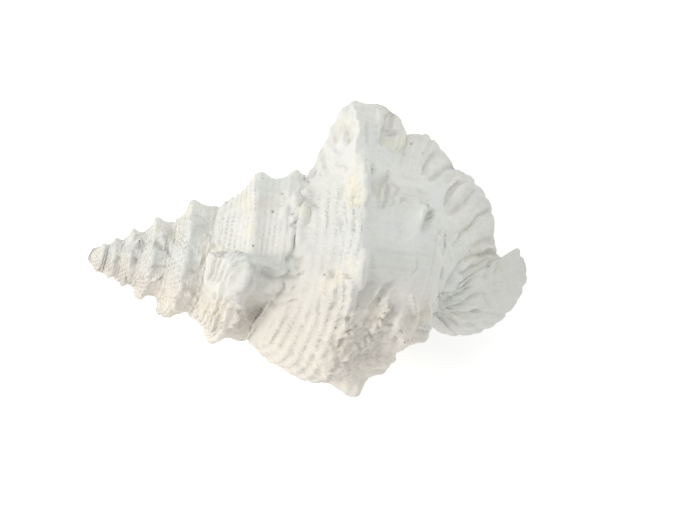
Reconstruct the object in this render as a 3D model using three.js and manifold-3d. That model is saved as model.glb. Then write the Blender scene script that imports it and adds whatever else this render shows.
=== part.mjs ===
// A large frog-type sea snail shell with a flared outer lip, lying with its opening down.
// Units are millimetres, +Z is up, and the shell rests on the plane z = 0.
// The spire points along -X and the siphonal canal along +X.
//
// The shell is worked out in its own coil frame first. There s runs along the coiling axis from
// the tip of the spire, r is the distance from that axis, and phi is the angle round it: 0 on the
// back of the shell, 90 degrees on the side of the outer lip, 180 degrees on the opening's side.
// A place on the spiral is given in turns before the lip, and a place across a whorl by c: 0 at
// the upper suture, 1 on the shoulder, 1.75 on the second keel, 2 at the lower suture, then for
// the last whorl 2.5 on the base, 3 at the neck of the canal and 4 on the axis.
import * as THREE from "three";
import { mergeVertices } from "three/addons/utils/BufferGeometryUtils.js";
import Module from "manifold-3d";

const wasm = await Module();
wasm.setup();

const DEG = Math.PI / 180;

// Driving dimensions

// The shoulder: turns before the lip, place along the axis, radius
const SHOULDER = [
  [-0.3, 114, 56],
  [0, 111.5, 52.5],
  [0.306, 107.5, 48.5],
  [0.556, 99, 46.8],
  [0.806, 83, 42],
  [1.056, 69.5, 39.2],
  [1.306, 63.5, 35.8],
  [1.556, 54, 31.5],
  [2.056, 42.6, 25.7],
  [3.056, 28.2, 17.9],
  [4.056, 18.5, 12.9],
  [5.056, 11.8, 9],
  [6.056, 6.8, 6.5],
  [7.056, 2.4, 4.9],
  [8.1, 1, 4],
];
const KEEL_S = 1.2; // second keel, of the shoulder's s
const SUTURE_S = 1.265; // lower suture, of the shoulder's s
const SUTURE_R = 0.955; // lower suture, of the shoulder's radius

// The last whorl below its shoulder: turns, then (s, r) of the second keel, the lower cord, the
// base and the neck
const LAST_WHORL = [
  [-0.12, 139, 49, 146, 44, 149.5, 38, 150.5, 32],
  [0.056, 138, 44.5, 144, 39.5, 147.5, 34, 148, 29],
  [0.22, 134.5, 41.5, 140.5, 36.5, 144.5, 32, 146, 28],
  [0.306, 131, 40, 138, 35, 142.5, 31, 144.5, 27],
  [0.42, 125.5, 40.5, 132, 35, 139, 30, 144, 25],
  [0.556, 126, 40.2, 128.8, 33.3, 136.3, 28.6, 143.8, 22.3],
  [0.806, 104, 41, 114, 38, 127, 30, 141, 19],
  [1, 87, 39.6, 91.7, 38, 113, 25, 138, 11],
  [1.3, 76.4, 35.5, 80.5, 34.2, 107, 20, 136, 9],
  [1.6, 63.6, 30.2, 67, 29.2, 100, 15, 134, 8],
];
const AXIS_END = 147; // s where the base closes on the axis
const LIP_ANGLE = 110; // degrees, phi at the start of the lip
const TURNS = 7; // whorls
const STEPS = 48; // steps a turn
const PAST_LIP = -1; // steps from the start of the lip to the edge of the mouth
const COLUMNS = [14, 12, 7, 5, 4, 3, 2]; // facets across a whorl, last whorl first
const BASE_COLUMNS = 10;

// Knobs (+) and hollows (-): turns, c, height, half length along the spiral in degrees, and the
// half width in c on the spire's side and on the canal's side
const KNOBS = [
  [0.168, 0.98, 6.5, 14, 0.2, 0.08],
  [0.305, 0.98, 4.5, 9, 0.2, 0.09],
  [0.44, 1, 3.5, 11, 0.2, 0.14],
  [0.365, 1.46, 3.5, 11, 0.1, 0.09],
  [0.585, 1.48, 11, 11, 0.27, 0.27],
  [0.7, 1, 4, 12, 0.2, 0.2],
  [0.84, 1, 4, 12, 0.2, 0.2],
  [0.205, 1.74, 4.5, 7, 0.11, 0.06],
  [0.375, 1.7, 3, 6, 0.1, 0.08],
  [0.43, 1.9, 3.5, 9, 0.12, 0.12],
  [0.7, 1.75, 4, 10, 0.14, 0.14],
  [0.84, 1.75, 4, 10, 0.14, 0.14],
  [0.465, 2.55, 3.5, 10, 0.22, 0.22],
  [0.79, 2.08, 5, 12, 0.2, 0.2],
  [0.175, 1.18, -2.4, 9, 0.08, 0.1],
  [0.325, 1.14, -1.8, 6, 0.07, 0.12],
  [1.43, 1.6, -9, 22, 0.36, 0.4],
  [1.52, 1.35, -4, 14, 0.3, 0.3],
];
const SPIRE_KNOBS = 8; // a turn
const SPIRE_KNOB = 0.12; // height, of the radius
const WALL = 4.2; // shell wall round the hollow
const CALLUS = 1; // glaze over the whorl before

// The old lip on the whorl before the last: turns at its edge, heights of the flap, of the part
// behind it and of its curved rim
const OLD_LIP = { at: 1.275, slant: 0.02, flap: 5.5, behind: 2.5, rim: 1.8 };
// The hidden old lip on the underside
const HIDDEN_LIP = { at: 0.655, height: 3 };

// The flared lip and the canal's fan in the view of the back, in 0.4167 mm units from the left
// and the top of that view: rim x, y, rim height in mm, then the root on the shell as turns and
// c, how deep the root is sunk in mm, and the slope at the rim
const VIEW_UNIT = 180 / 432;
const VIEW_X = 307;
const VIEW_Y = 258;
const RAYS = [
  [305, 179, -4, 0.085, 0.04, 0.4, -1.2],
  [316, 159, -9, 0.125, 0.26, 0.4, -1.2],
  [327, 136, -12, 0.138, 0.5, 0.4, -1],
  [338, 118, -13, 0.145, 0.72, 0.4, -0.9],
  [352, 100, -13, 0.148, 0.9, 0.4, -0.8],
  [365, 102, -13, 0.146, 1.0, 0.4, -0.8],
  [383, 104, -14, 0.142, 1.14, 0.4, -0.8],
  [396, 117, -14, 0.142, 1.27, 0.6, -0.8],
  [406, 132, -14, 0.148, 1.38, 0.8, -0.8],
  [427, 134, -14, 0.155, 1.5, 1, -0.8],
  [439, 145, -14, 0.168, 1.6, 1.2, -0.7],
  [457, 168, -14, 0.19, 1.72, 1.2, -0.6],
  [472, 177, -14, 0.22, 1.86, 1.2, -0.6],
  [487, 193, -14, 0.262, 1.98, 1.2, -0.6],
  [494, 215, -13, 0.3, 2.14, 1.2, -0.5],
  [498, 246, -11, 0.338, 2.32, 2, -0.3],
  [505, 257, -9, 0.356, 2.4, 4, 0],
  [518, 249, -7, 0.36, 2.42, 6, 0],
  [527, 275, -10, 0.364, 2.43, 8, -0.1],
  [520, 298, -14, 0.368, 2.44, 10, -0.3],
  [505, 318, -18, 0.372, 2.45, 12, -0.5],
  [486, 331, -21, 0.376, 2.46, 14, -0.6],
  [466, 336, -22, 0.38, 2.47, 16, -0.7],
  [445, 335, -21, 0.386, 2.48, 17, -0.7],
  [431, 326, -19, 0.392, 2.5, 18, -0.7],
];
const LIP_ROWS = 6;
const LIP_EDGE = 3; // thickness at the rim
const LIP_ROOT = 14; // thickness at the root
const LIP_FOLDS = { from: 6.5, to: 15.3, count: 12, height: 0.8 };
const FAN_FOLDS = { from: 18.3, to: 23.6, count: 9, height: 1.2 };
// Single ridges (+) and hollows (-) of the lip: ray, place from root to rim, height in mm, and
// the half widths across and along the ray
const LIP_RIDGES = [
  [0.7, 0.8, 1.5, 0.25, 0.25],
  [1.6, 0.8, 1.6, 0.25, 0.22],
  [2.5, 0.75, 1.5, 0.3, 0.25],
  [3.35, 0.6, -4.5, 0.36, 0.3],
  [4.25, 0.6, 2.5, 0.25, 0.6],
  [5.3, 0.6, -1.8, 0.4, 0.4],
  [6.2, 0.7, 2.2, 0.3, 0.3],
  [7.7, 0.7, -2, 0.3, 0.5],
  [8.6, 0.7, 1.5, 0.35, 0.4],
  [9.4, 0.5, -2.2, 0.3, 0.3],
];
// The canal's groove under the fan: x, y in the view, height and radius in mm
const CANAL = [
  [420, 236, -19, 6],
  [442, 240, -19, 5.5],
  [466, 246, -20, 5],
  [488, 251, -20, 4],
  [514, 254, -21, 4],
];

// The pose of the coil frame in the view of the back
const APEX = new THREE.Vector3(-90.8, -0.1, 12);
const AXIS_DIP = 7; // degrees, spire end raised towards the viewer
const AXIS_SLOPE = 3.2; // degrees, spire end raised in the view
// From the view of the back to the rest on a table
const REST_DOWN = new THREE.Vector3(-0.067, -0.08, -0.995); // points down at rest
const CONTACT = 0.35; // depth of the flats worn where the shell touches the table

// Small helpers

const mix = (a, b, t) => a + (b - a) * t;
const bell = (x) => Math.exp(-x * x);

function smooth(a, b, x) {
  const t = Math.min(1, Math.max(0, (x - a) / (b - a)));
  return t * t * (3 - 2 * t);
}

// Cubic curve through the rows of a table, whose first column is the parameter
function curve(table, x) {
  const last = table.length - 1;
  const q = Math.min(table[last][0], Math.max(table[0][0], x));
  let k = 0;
  while (k < last - 1 && q > table[k + 1][0]) k++;
  const step = table[k + 1][0] - table[k][0];
  const t = (q - table[k][0]) / step;
  const slope = (i, column) => {
    const a = table[Math.max(0, i - 1)];
    const b = table[Math.min(last, i + 1)];
    return ((b[column] - a[column]) / (b[0] - a[0])) * step;
  };
  const t2 = t * t;
  const t3 = t2 * t;
  return table[k].map((y0, column) => {
    const y1 = table[k + 1][column];
    const start = (2 * t3 - 3 * t2 + 1) * y0 + (t3 - 2 * t2 + t) * slope(k, column);
    return start + (3 * t2 - 2 * t3) * y1 + (t3 - t2) * slope(k + 1, column);
  });
}

// The whorl's section

const LOG_SHOULDER = SHOULDER.map(([turns, s, r]) => [turns, Math.log(s), Math.log(r)]);

function shoulder(turns) {
  const [, s, r] = curve(LOG_SHOULDER, turns);
  return [Math.exp(s), Math.exp(r)];
}

function lowerSuture(turns) {
  if (turns < 1) return curve(LAST_WHORL, turns).slice(3, 5);
  const [s, r] = shoulder(turns);
  return [s * SUTURE_S, r * SUTURE_R];
}

function upperSuture(turns) {
  return turns > TURNS - 1 ? [0, 0] : lowerSuture(turns + 1);
}

function between(a, b, t) {
  return [mix(a[0], b[0], t), mix(a[1], b[1], t)];
}

function section(turns, c) {
  const top = shoulder(turns);
  if (c <= 1) {
    const p = between(upperSuture(turns), top, c);
    // The ramp swells on the underside of the last whorl and dips a little elsewhere
    const swell = 0.13 * bell((turns - 0.58) / 0.16) * (0.2 + 1.6 * c);
    const depth = Math.sin(Math.PI * c) * top[1] * (0.028 - swell);
    return [p[0] + depth * 0.7, p[1] - depth * 0.7];
  }
  const row = curve(LAST_WHORL, turns);
  const keel = turns < 1 ? row.slice(1, 3) : [top[0] * KEEL_S, top[1]];
  if (c <= 1.75) {
    const t = (c - 1) / 0.75;
    const p = between(top, keel, t);
    return [p[0], p[1] - Math.sin(Math.PI * t) * top[1] * 0.05];
  }
  const low = lowerSuture(turns);
  if (c <= 2) return between(keel, low, (c - 1.75) / 0.25);
  const base = row.slice(5, 7);
  const neck = row.slice(7, 9);
  if (c <= 2.5) return between(low, base, (c - 2) * 2);
  if (c <= 3) return between(base, neck, (c - 2.5) * 2);
  return between(neck, [AXIS_END, 0], c - 3);
}

function normal(turns, c) {
  const a = section(turns, Math.max(0.001, c - 0.04));
  const b = section(turns, Math.min(4, c + 0.04));
  const length = Math.hypot(b[0] - a[0], b[1] - a[1]);
  return [(a[1] - b[1]) / length, (b[0] - a[0]) / length];
}

// The old lip, which also covers the suture beside it
function oldLip(turns, c) {
  const t = turns - OLD_LIP.at - OLD_LIP.slant * c;
  const edge = smooth(-0.012, 0.004, t);
  const flap = smooth(-0.42, -0.2, c) * (1 - smooth(1, 1.12, c));
  const front = OLD_LIP.flap * (1 - smooth(0.055, 0.095, t));
  const behind = OLD_LIP.behind * (1 - smooth(0.16, 0.24, t));
  const across = (c - 0.3) / 0.55;
  const ring = Math.hypot(across, (t - 0.036) / 0.042);
  const rim = OLD_LIP.rim * bell((ring - 1) / 0.26) * smooth(-0.3, 0.2, across);
  const plate = smooth(1.05, 1.15, c) * (1 - smooth(1.9, 1.99, c)) * (1 - smooth(0.05, 0.075, t));
  return edge * (flap * (front + behind) + plate * OLD_LIP.behind) + rim;
}

// Height of the knobs and the old lips
function relief(turns, c) {
  const radius = shoulder(turns)[1];
  let height = 0;
  for (const [turn, across, knob, long, left, right] of KNOBS) {
    const a = ((turns - turn) * 360) / long;
    const b = (c - across) / (c < across ? left : right);
    if (a * a + b * b < 9) height += knob * bell(a * 0.95) * bell(b * 0.95);
  }
  const crest = Math.max(0, Math.cos(Math.PI * (turns - 0.06) * SPIRE_KNOBS)) ** 2;
  const grown = smooth(0.93, 1.06, turns) * (1 - 0.35 * bell((turns - 1.05) / 0.6));
  height += radius * SPIRE_KNOB * crest * bell((c - 1) / 0.25) * grown;
  height += oldLip(turns, c);
  if (c > 1.5) height += oldLip(turns - 1, c - 2);
  const u = turns - HIDDEN_LIP.at;
  const along = u < 0 ? smooth(-0.022, 0, u) : 1 - smooth(0.04, 0.12, u);
  return height + HIDDEN_LIP.height * along * smooth(0.04, 0.3, c) * (1 - smooth(1.85, 2, c));
}

// From the coil frame to the view of the back
function place(s, r, turns) {
  const phi = (LIP_ANGLE - 360 * turns) * DEG;
  const point = new THREE.Vector3(s, r * Math.sin(phi), r * Math.cos(phi));
  point.applyAxisAngle(new THREE.Vector3(0, 1, 0), AXIS_DIP * DEG);
  point.applyAxisAngle(new THREE.Vector3(0, 0, 1), -AXIS_SLOPE * DEG);
  return point.add(APEX);
}

// A point of the shell with no relief on it
function onSection(turns, c) {
  const [s, r] = section(turns, c);
  return place(s, r, turns);
}

function onShell(turns, c) {
  const [s, r] = section(turns, c);
  const [ns, nr] = normal(turns, c);
  const height = relief(turns, c);
  return place(s + ns * height, Math.max(0, r + nr * height), turns);
}

// How steeply the shell rises at a place, in a level direction
function slopeAlong(turns, c, direction) {
  const here = onSection(turns, c);
  const back = onSection(turns - 1e-3, c).sub(here);
  const aside = onSection(turns, c + 1e-3).sub(here);
  const area = back.x * aside.y - back.y * aside.x;
  const one = (direction.x * aside.y - direction.y * aside.x) / area;
  const two = (back.x * direction.y - back.y * direction.x) / area;
  return one * back.z + two * aside.z;
}

function inView(x, y, z) {
  return new THREE.Vector3((x - VIEW_X) * VIEW_UNIT, (VIEW_Y - y) * VIEW_UNIT, z);
}

// Meshes

class Skin {
  constructor() {
    this.points = [];
    this.faces = [];
  }

  add(point) {
    this.points.push(point);
    return this.points.length - 1;
  }

  face(a, b, c) {
    if (a !== b && b !== c && a !== c) this.faces.push(a, b, c);
  }

  // Triangles between two lines of points, always along the shorter diagonal
  join(one, other) {
    let i = 0;
    let j = 0;
    const gap = (a, b) => this.points[a].distanceTo(this.points[b]);
    while (i < one.length - 1 || j < other.length - 1) {
      const first = i < one.length - 1 ? gap(one[i + 1], other[j]) : Infinity;
      const second = j < other.length - 1 ? gap(one[i], other[j + 1]) : Infinity;
      if (first <= second) {
        this.face(one[i], one[i + 1], other[j]);
        i++;
      } else {
        this.face(one[i], other[j + 1], other[j]);
        j++;
      }
    }
  }

  geometry() {
    const made = new THREE.BufferGeometry();
    made.setFromPoints(this.points);
    made.setIndex(this.faces);
    return made;
  }
}

// From the view of the back to the pose at rest
const DOWN = new THREE.Vector3(0, 0, -1);
const REST = new THREE.Quaternion().setFromUnitVectors(REST_DOWN.clone().normalize(), DOWN);

function solid(geometry) {
  geometry.deleteAttribute("normal");
  geometry.deleteAttribute("uv");
  const merged = mergeVertices(geometry, 1e-4);
  const vertProperties = new Float32Array(merged.attributes.position.array);
  const triVerts = new Uint32Array(merged.index.array);
  const made = new wasm.Manifold(new wasm.Mesh({ numProp: 3, vertProperties, triVerts }));
  if (made.volume() > 0) return made;
  for (let i = 0; i < triVerts.length; i += 3) {
    [triVerts[i + 1], triVerts[i + 2]] = [triVerts[i + 2], triVerts[i + 1]];
  }
  return new wasm.Manifold(new wasm.Mesh({ numProp: 3, vertProperties, triVerts }));
}

// A closed body through rings of equal count, with a fan of faces over each end
function tube(rings) {
  const skin = new Skin();
  const count = rings[0].length;
  const ids = rings.map((ring) => ring.map((point) => skin.add(point)));
  for (let i = 0; i < rings.length - 1; i++) {
    for (let j = 0; j < count; j++) {
      const k = (j + 1) % count;
      skin.face(ids[i][j], ids[i + 1][j], ids[i + 1][k]);
      skin.face(ids[i][j], ids[i + 1][k], ids[i][k]);
    }
  }
  for (const [at, turn] of [[0, 0], [rings.length - 1, 1]]) {
    const middle = new THREE.Vector3();
    for (const point of rings[at]) middle.addScaledVector(point, 1 / count);
    const centre = skin.add(middle);
    for (let j = 0; j < count; j++) {
      const k = (j + 1) % count;
      if (turn) skin.face(centre, ids[at][k], ids[at][j]);
      else skin.face(centre, ids[at][j], ids[at][k]);
    }
  }
  return solid(skin.geometry().applyQuaternion(REST));
}

// The coil: one helical skin whose lower edge is the upper edge of the next turn
function coil() {
  const skin = new Skin();
  const rows = TURNS * STEPS + PAST_LIP;
  const turnsAt = (i) => TURNS - i / STEPS;
  const apex = skin.add(place(0.2, 0, 0));
  const end = skin.add(place(AXIS_END, 0, 0));
  const lower = [];
  const lines = [];
  for (let i = 0; i <= rows; i++) {
    const turns = turnsAt(i);
    const columns = i === 0 ? 1 : COLUMNS[Math.max(0, Math.floor(turns - 1e-9))];
    const line = [i < STEPS ? apex : lower[i - STEPS]];
    for (let j = 1; j < columns; j++) line.push(skin.add(onShell(turns, (2 * j) / columns)));
    lower.push(skin.add(onShell(turns, 2)));
    line.push(lower[i]);
    lines.push(line);
  }
  const bases = [];
  for (let i = rows - STEPS; i <= rows; i++) {
    const line = [lower[i]];
    for (let j = 1; j < BASE_COLUMNS; j++) {
      line.push(skin.add(onShell(turnsAt(i), 2 + (2 * j) / BASE_COLUMNS)));
    }
    line.push(end);
    bases.push(line);
  }
  for (let i = 0; i < rows; i++) skin.join(lines[i], lines[i + 1]);
  for (let i = 0; i < STEPS; i++) skin.join(bases[i], bases[i + 1]);
  skin.join(lines[rows].concat(bases[STEPS].slice(1)), bases[0]);
  return solid(skin.geometry().applyQuaternion(REST));
}

// Columns round the lip: the ray, and about 1 on a fold's crest or -1 in a groove
function lipColumns() {
  const list = [];
  const addFolds = ({ from, to, count }) => {
    for (let k = 0; k <= 2 * count; k++) {
      const ray = mix(from, to, k / (2 * count)) + 0.06 * Math.sin(k * 2.3) + (k % 2 ? 0.04 : 0);
      list.push([ray, (k % 2 ? 1 : -1) * (1 + 0.35 * Math.sin(k * 1.7))]);
    }
  };
  for (let ray = 0; ray <= 6; ray += 0.5) list.push([ray, 0]);
  addFolds(LIP_FOLDS);
  for (const ray of [15.6, 16, 16.5, 17, 17.4]) list.push([ray, 0]);
  addFolds(FAN_FOLDS);
  list.push([24, 0]);
  return list;
}

// Height of the lip's folds, ridges and hollows
function lipRelief(at, fold, t) {
  const onFan = FAN_FOLDS.height * smooth(0.02, 0.25, t) * (1 - 0.85 * smooth(0.5, 0.8, t));
  let height = fold * (at > 17 ? onFan : LIP_FOLDS.height * smooth(0.1, 0.6, t));
  for (const [ray, along, tall, wide, long] of LIP_RIDGES) {
    height += tall * bell((at - ray) / wide) * bell((t - along) / long);
  }
  return height;
}

// The flared lip with the fan of the canal, as one curved plate that leaves the shell smoothly
function lip() {
  const table = RAYS.map((ray, i) => [i, ...ray]);
  const rings = [];
  for (const [at, fold] of lipColumns()) {
    const [, rimX, rimY, rimZ, turns, c, sink, rimSlope] = curve(table, at);
    const rim = inView(rimX, rimY, rimZ);
    const root = onShell(turns, c);
    root.z -= sink;
    const out = rim.clone().sub(root).setZ(0);
    const reach = out.length();
    out.divideScalar(reach);
    const rootSlope = Math.min(0.2, Math.max(-1.5, slopeAlong(turns, c, out)));
    rim.addScaledVector(out, fold * 0.5);
    const canal = bell((at - 15.6) / 1.3);
    const upper = [];
    const under = [];
    for (let j = 0; j <= LIP_ROWS; j++) {
      const t = j / LIP_ROWS;
      const point = root.clone().lerp(rim, t);
      point.z = mix(root.z, rim.z, t * t * (3 - 2 * t));
      point.z += reach * t * (1 - t) * (rootSlope * (1 - t) - rimSlope * t);
      const height = lipRelief(at, fold, t);
      const thick = mix(LIP_ROOT, LIP_EDGE + 5 * canal, smooth(0, 0.85, t));
      upper.push(point.clone().setZ(point.z + height));
      under.push(point.clone().setZ(point.z + height * 0.6 - thick));
    }
    rings.push(upper.concat(under.reverse()));
  }
  return tube(rings);
}

// The hollow from the mouth back along the last whorl, between its wall and the whorl before
function hollow() {
  const rings = [];
  const across = 15;
  for (let k = 0; k <= 22; k++) {
    const u = k / 22;
    const turns = mix(-0.11, 0.62, u);
    const size = 1 - 0.75 * smooth(0.35, 1, u);
    const open = smooth(-0.02, -0.1, turns);
    const teeth = bell((turns - 0.01) / 0.03);
    const ring = [];
    for (let j = 0; j <= across; j++) {
      const c = mix(0.12, 2.95, j / across);
      const [s, r] = section(turns, c);
      const [ns, nr] = normal(turns, c);
      const wall = WALL - 2.5 * open + (j % 2) * teeth * 1.4;
      ring.push([s - ns * wall, r - nr * wall]);
    }
    for (let j = 0; j <= across; j++) {
      const c = mix(2.92, 2.05, j / across);
      const [s, r] = section(turns + 1, c);
      const [ns, nr] = normal(turns + 1, c);
      ring.push([s + ns * CALLUS, r + nr * CALLUS]);
    }
    const middle = [0, 0];
    for (const [s, r] of ring) {
      middle[0] += s / ring.length;
      middle[1] += r / ring.length;
    }
    const drawn = ring.map((p) => between(middle, p, size));
    rings.push(drawn.map(([s, r]) => place(s, Math.max(0.5, r), turns)));
  }
  return tube(rings);
}

function canal() {
  const rings = CANAL.map(([x, y, z, radius]) => {
    const ring = [];
    for (let j = 0; j < 10; j++) {
      const a = (j / 10) * 2 * Math.PI;
      const across = VIEW_Y - y + (Math.cos(a) * radius) / VIEW_UNIT;
      ring.push(new THREE.Vector3((x - VIEW_X) * VIEW_UNIT, across * VIEW_UNIT, z + Math.sin(a) * radius));
    }
    return ring;
  });
  return tube(rings);
}

function geometryOf(body) {
  const { vertProperties, triVerts } = body.getMesh();
  const geometry = new THREE.BufferGeometry();
  geometry.setAttribute("position", new THREE.BufferAttribute(new Float32Array(vertProperties), 3));
  geometry.setIndex(new THREE.BufferAttribute(new Uint32Array(triVerts), 1));
  return geometry;
}

function largest(body) {
  return body.decompose().sort((a, b) => b.volume() - a.volume())[0];
}

const whole = largest(coil().add(lip()).subtract(hollow()).subtract(canal()));
const low = geometryOf(whole);
low.computeBoundingBox();
const table = new THREE.BoxGeometry(400, 400, 40);
table.translate(0, 0, low.boundingBox.min.z + CONTACT - 20);
const shell = geometryOf(whole.subtract(solid(table)));
shell.computeBoundingBox();
const { min, max } = shell.boundingBox;
shell.translate(-(min.x + max.x) / 2, -(min.y + max.y) / 2, -min.z);

const material = new THREE.MeshStandardMaterial({ color: 0xe9e6df, roughness: 0.8 });
const node = new THREE.Mesh(shell, material);
node.name = "shell";
const model = new THREE.Group();
model.add(node);
export default model;
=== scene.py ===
"""A large frog-type sea snail shell, chalky and bleached, seen from its back."""

import math
from itertools import product

import bpy
import numpy as np
from mathutils import Matrix, Vector
from mathutils.kdtree import KDTree


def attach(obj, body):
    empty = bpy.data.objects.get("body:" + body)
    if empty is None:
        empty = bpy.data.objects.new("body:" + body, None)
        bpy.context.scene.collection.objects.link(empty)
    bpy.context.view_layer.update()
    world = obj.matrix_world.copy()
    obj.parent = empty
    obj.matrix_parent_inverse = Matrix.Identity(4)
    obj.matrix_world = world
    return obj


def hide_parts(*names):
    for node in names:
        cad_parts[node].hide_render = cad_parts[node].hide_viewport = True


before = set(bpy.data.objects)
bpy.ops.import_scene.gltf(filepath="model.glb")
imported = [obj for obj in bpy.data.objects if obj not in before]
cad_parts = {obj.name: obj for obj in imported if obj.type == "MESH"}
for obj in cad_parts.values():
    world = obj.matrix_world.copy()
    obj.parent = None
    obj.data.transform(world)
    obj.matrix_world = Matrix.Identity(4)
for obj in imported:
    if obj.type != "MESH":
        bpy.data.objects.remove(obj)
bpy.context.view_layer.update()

MM = 0.001

# The coil and the lip as in part.mjs, but for a finer mesh and corrected knobs, rays and folds
# In millimetres, s runs along the axis from the apex and r away from it, and turns count back from the lip
# Across a whorl, 0 is the upper suture, 1 the shoulder, 1.75 the second keel, 2 the lower suture,
# 2.5 the base, 3 the neck and 4 the axis

# Turns, s, r
SHOULDER = np.array([
    [-0.3, 114, 56],
    [0, 111.5, 52.5],
    [0.306, 107.5, 48.5],
    [0.556, 99, 46.8],
    [0.806, 83, 42],
    [1.056, 69.5, 39.2],
    [1.306, 63.5, 35.8],
    [1.556, 54, 31.5],
    [2.056, 42.6, 25.7],
    [3.056, 28.2, 17.9],
    [4.056, 18.5, 12.9],
    [5.056, 11.8, 9],
    [6.056, 6.8, 6.5],
    [7.056, 2.4, 4.9],
    [8.1, 1, 4],
])
KEEL_S = 1.2
SUTURE_S = 1.265
SUTURE_R = 0.955
# Turns, then s and r of the keel, the suture, the base and the neck
LAST_WHORL = np.array([
    [-0.12, 139, 49, 146, 44, 149.5, 38, 150.5, 32],
    [0.056, 138, 44.5, 144, 39.5, 147.5, 34, 148, 29],
    [0.22, 134.5, 41.5, 140.5, 36.5, 144.5, 32, 146, 28],
    [0.306, 131, 40, 138, 35, 142.5, 31, 144.5, 27],
    [0.42, 125.5, 40.5, 132, 35, 139, 30, 144, 25],
    [0.556, 126, 40.2, 128.8, 33.3, 136.3, 28.6, 143.8, 22.3],
    [0.806, 104, 41, 114, 38, 127, 30, 141, 19],
    [1, 87, 39.6, 91.7, 38, 113, 25, 138, 11],
    [1.3, 76.4, 35.5, 80.5, 34.2, 107, 20, 136, 9],
    [1.6, 63.6, 30.2, 67, 29.2, 100, 15, 134, 8],
])
AXIS_END = 147
LIP_ANGLE = 110
TURNS = 7
# Rows a turn, which stand closer together around the turn FRONT, and columns of each whorl
STEPS = 228
PAST_LIP = -4
FRONT = 0.36
CLOSER = 0.4
COLUMNS = [100, 76, 38, 24, 16, 10, 8]
BASE_COLUMNS = 42
# Turn, place across, height, half length in degrees, half width towards the apex and away from it
KNOBS = [
    [0.168, 0.98, 6.5, 14, 0.2, 0.08],
    [0.305, 0.98, 4.5, 9, 0.2, 0.09],
    [0.44, 1, 3.5, 11, 0.2, 0.14],
    [0.365, 1.46, 3.5, 11, 0.1, 0.09],
    [0.585, 1.46, 11.8, 11, 0.27, 0.16],
    [0.7, 1, 4, 12, 0.2, 0.2],
    [0.84, 1, 4, 12, 0.2, 0.2],
    [0.205, 1.74, 1.5, 7, 0.11, 0.06],
    [0.375, 1.7, 3, 6, 0.1, 0.08],
    [0.43, 1.9, 3.5, 9, 0.12, 0.12],
    [0.7, 1.75, 4, 10, 0.14, 0.14],
    [0.84, 1.75, 4, 10, 0.14, 0.14],
    [0.465, 2.55, 3.5, 10, 0.22, 0.22],
    [0.79, 2.08, 5, 12, 0.2, 0.2],
    [0.175, 1.18, -2.4, 9, 0.08, 0.1],
    [0.325, 1.14, -1.8, 6, 0.07, 0.12],
    [0.24, 0.98, -1.6, 9, 0.16, 0.25],
    [1.17, 1.86, 2.2, 4, 0.1, 0.1],
    [1.287, 1.93, -2.6, 3, 0.06, 0.06],
    [0.55, 1.7, 3, 6, 0.12, 0.12],
    [1.43, 1.6, -7.6, 22, 0.36, 0.4],
    [1.52, 1.35, -1.5, 14, 0.3, 0.3],
    [0.57, 0.6, -3.6, 26, 0.2, 0.26],
    [0.57, 1.7, -3.6, 9, 0.12, 0.13],
    [0.54, 2.15, -3.4, 20, 0.2, 0.25],
    [1.07, 1.85, 3.5, 6, 0.12, 0.12],
    [2.56, 0.72, 3.2, 30, 0.25, 0.2],
    [3.56, 0.74, 1.8, 30, 0.25, 0.2],
]
# Knobs a turn on the spire, and their height as a share of the radius
SPIRE_KNOBS = 8
SPIRE_KNOB = 0.055
# Spiral cords from suture to shoulder, and length of a bead on them
CORDS = 7.5
BEAD = 2.9
# Thickness around the hollow, and of the glaze over the whorl before
WALL = 4.2
CALLUS = 1
# Turns of the two old lips
OLD_LIP = 1.275
HIDDEN_LIP = 0.655
# Millimetres for one pixel of the view of the back, and its pixel that stands at the origin
VIEW_UNIT = 180 / 432
VIEW_X = 307
VIEW_Y = 258
# Rim in the view and its height, turn, place across and depth of the root, slope of the rim
RAYS = np.array([
    [305, 179, -4, 0.085, 0.04, 0.4, -1.2],
    [316, 159, -9, 0.125, 0.26, 0.4, -1.2],
    [327, 136, -12, 0.138, 0.5, 0.4, -1],
    [336, 116, -13, 0.145, 0.72, 0.4, -0.9],
    [352, 100, -13, 0.148, 0.9, 0.4, -0.8],
    [365, 102, -13, 0.146, 1.0, 0.4, -0.8],
    [383, 104, -14, 0.142, 1.14, 0.4, -0.8],
    [401, 119, -14, 0.142, 1.27, 0.6, -0.8],
    [408, 133, -14, 0.148, 1.38, 0.8, -0.8],
    [427, 134, -14, 0.155, 1.5, 1, -0.8],
    [439, 145, -14, 0.168, 1.6, 1.2, -0.7],
    [457, 168, -14, 0.19, 1.72, 1.2, -0.6],
    [472, 177, -14, 0.22, 1.86, 1.2, -0.6],
    [486, 195, -14, 0.262, 1.98, 1.2, -0.6],
    [494, 215, -13, 0.3, 2.14, 1.2, -0.5],
    [496, 248, -11, 0.338, 2.32, 2, -0.3],
    [506, 259, -9, 0.356, 2.4, 4, 0],
    [518, 249, -7, 0.36, 2.42, 6, 0],
    [527, 275, -10, 0.364, 2.43, 8, -0.1],
    [520, 298, -14, 0.368, 2.44, 10, -0.5],
    [505, 318, -18, 0.372, 2.45, 12, -0.9],
    [486, 331, -21, 0.376, 2.46, 14, -1.1],
    [466, 336, -22, 0.38, 2.47, 16, -1.3],
    [445, 335, -21, 0.386, 2.48, 17, -1.3],
    [431, 326, -19, 0.392, 2.5, 18, -1.2],
])
# Rows from root to rim, steps between two rays, thickness at the rim and at the root
LIP_ROWS = 36
LIP_STEPS = 17
LIP_EDGE = 3
LIP_ROOT = 14
# First and last ray, count and height of the folds, and the share of the height that is left
LIP_FOLDS = (6.5, 15.3, 12, 1.2)
FAN_FOLDS = (16.1, 22.8, 11, 1.3)
LIP_DEPTH = 0.15
FAN_DEPTH = 0.08
FAN_START = 15.7
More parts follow.
